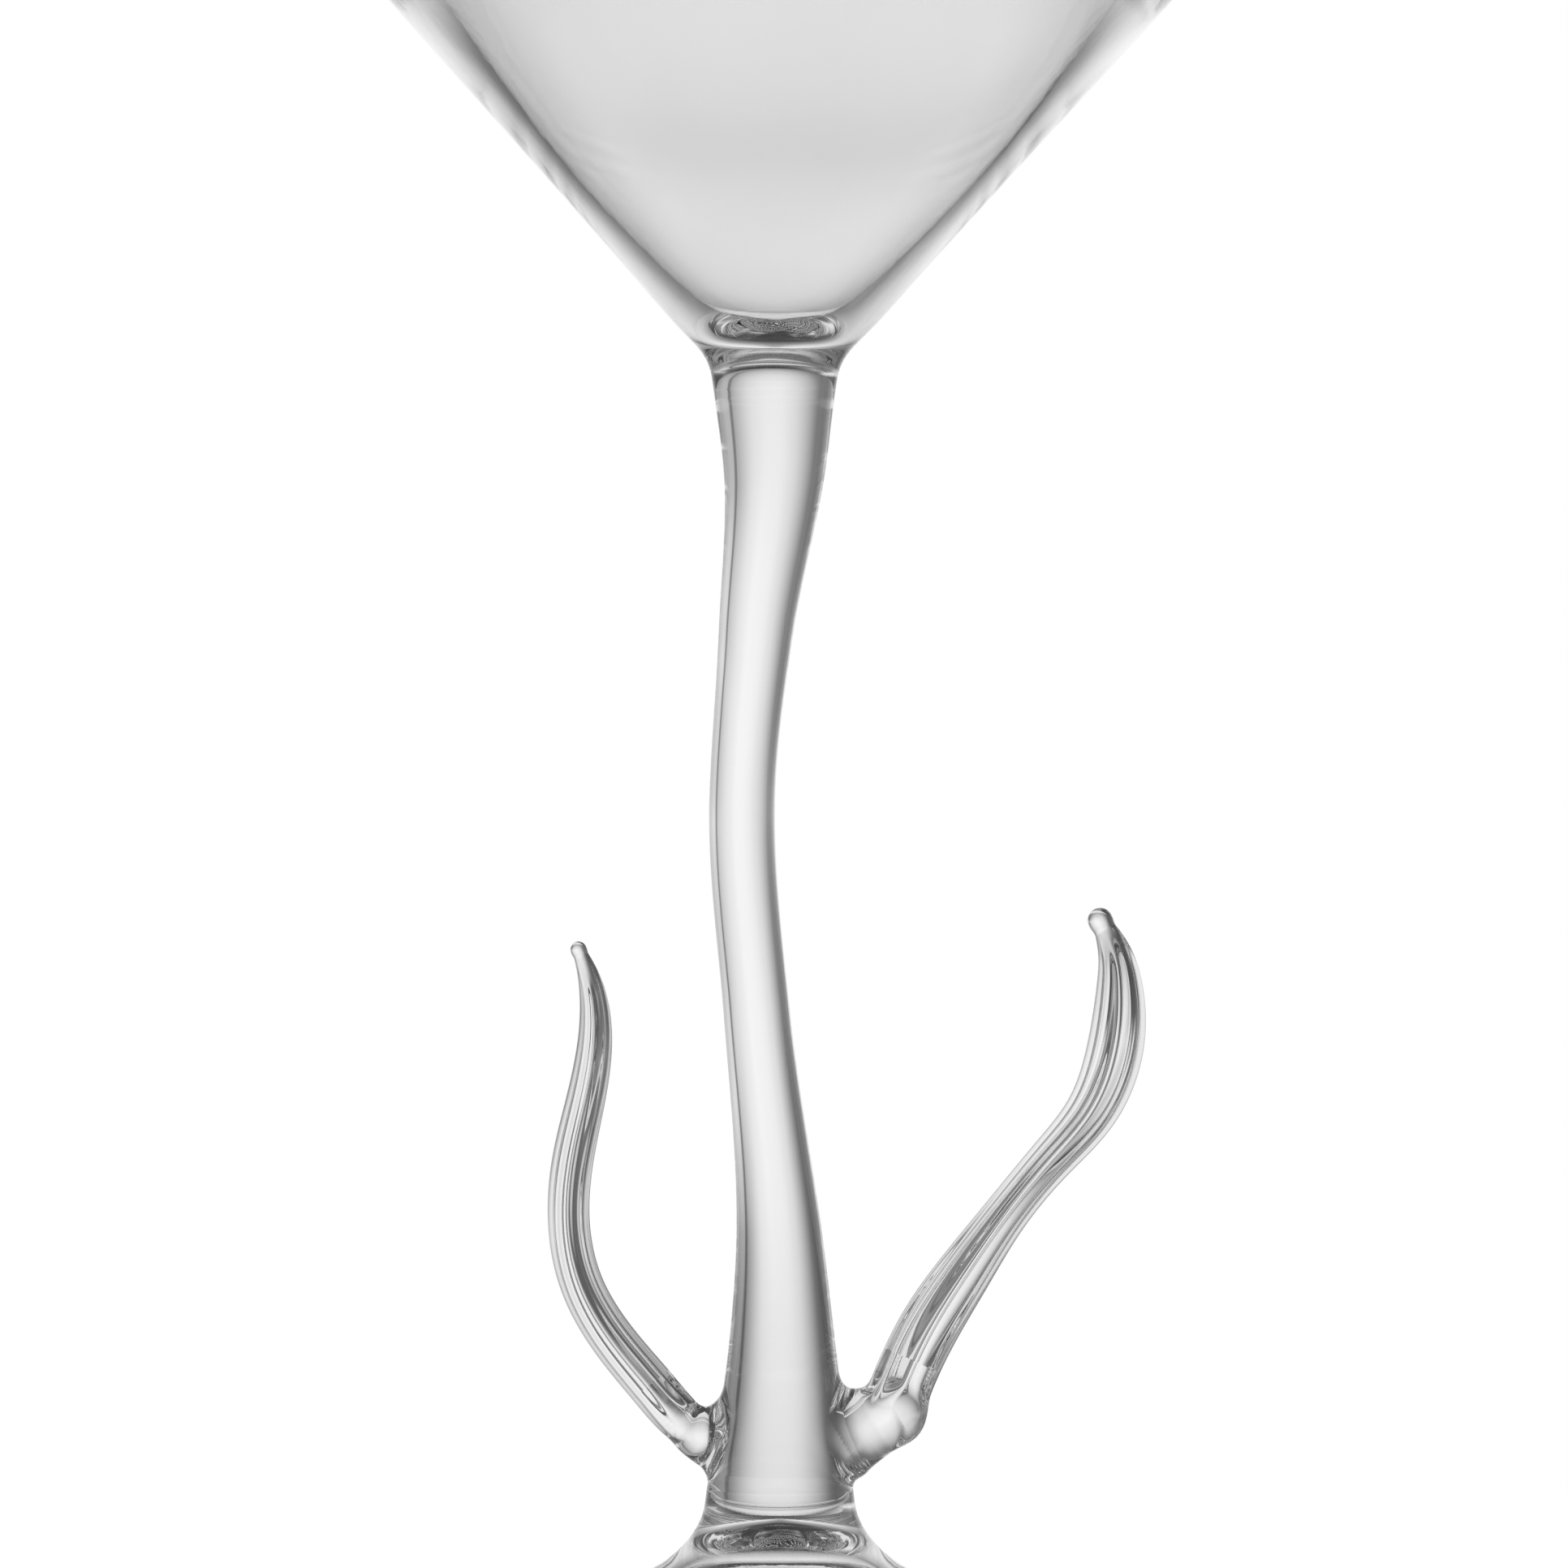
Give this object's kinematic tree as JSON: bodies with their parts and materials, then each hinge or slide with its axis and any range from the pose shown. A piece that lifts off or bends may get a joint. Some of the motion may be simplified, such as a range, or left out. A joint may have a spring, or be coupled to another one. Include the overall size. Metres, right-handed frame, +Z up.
{
  "type": "martini glass",
  "caption": "Stemmed cocktail glass with a cone-shaped bowl, a wavy solid stem, ribbed glass leaves low on the stem and a flared hollow foot.",
  "frame": {"origin": "centre of the plane the foot rests on, under the centre of the rim", "axes": "+Z up along the stem, +X towards the taller, right-hand leaf, -Y towards the viewer of the front"},
  "size_m": [0.112, 0.112, 0.1755],
  "materials": {
    "clear_glass": "clear, glossy, fire-polished"
  },
  "bodies": {
    "root": {"foot": "clear_glass", "foot_collar": "clear_glass", "stem": "clear_glass", "bowl_collar": "clear_glass", "bowl": "clear_glass", "left_leaf_root": "clear_glass", "left_leaf": "clear_glass", "right_leaf_root": "clear_glass", "right_leaf": "clear_glass"}
  },
  "joints": []
}
